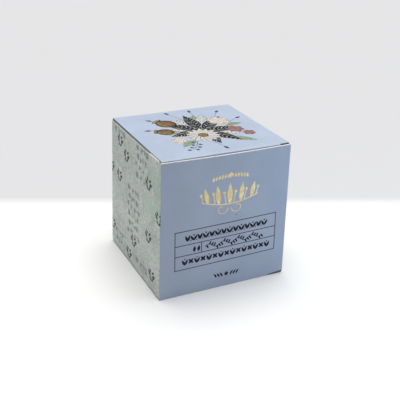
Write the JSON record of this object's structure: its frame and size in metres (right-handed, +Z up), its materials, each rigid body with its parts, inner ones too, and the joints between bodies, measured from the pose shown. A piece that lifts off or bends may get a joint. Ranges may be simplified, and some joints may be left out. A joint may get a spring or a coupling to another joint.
{
  "type": "tea box",
  "caption": "Shut cube-like folding carton of printed board for tea bags, with a tuck lid hinged at the back and slit locks beside its front crease.",
  "frame": {"origin": "on the floor under the middle of the carton", "axes": "+Z up, front panel facing -Y, +X to the right as seen from the front"},
  "size_m": [0.078, 0.0744, 0.08],
  "materials": {
    "printed_board": "matte periwinkle blue print on white folding board",
    "raw_board": "bare cut edge of white folding board",
    "gold_foil": "hot-stamped pale gold foil"
  },
  "bodies": {
    "root": {"carton": "printed_board"}
  },
  "joints": []
}
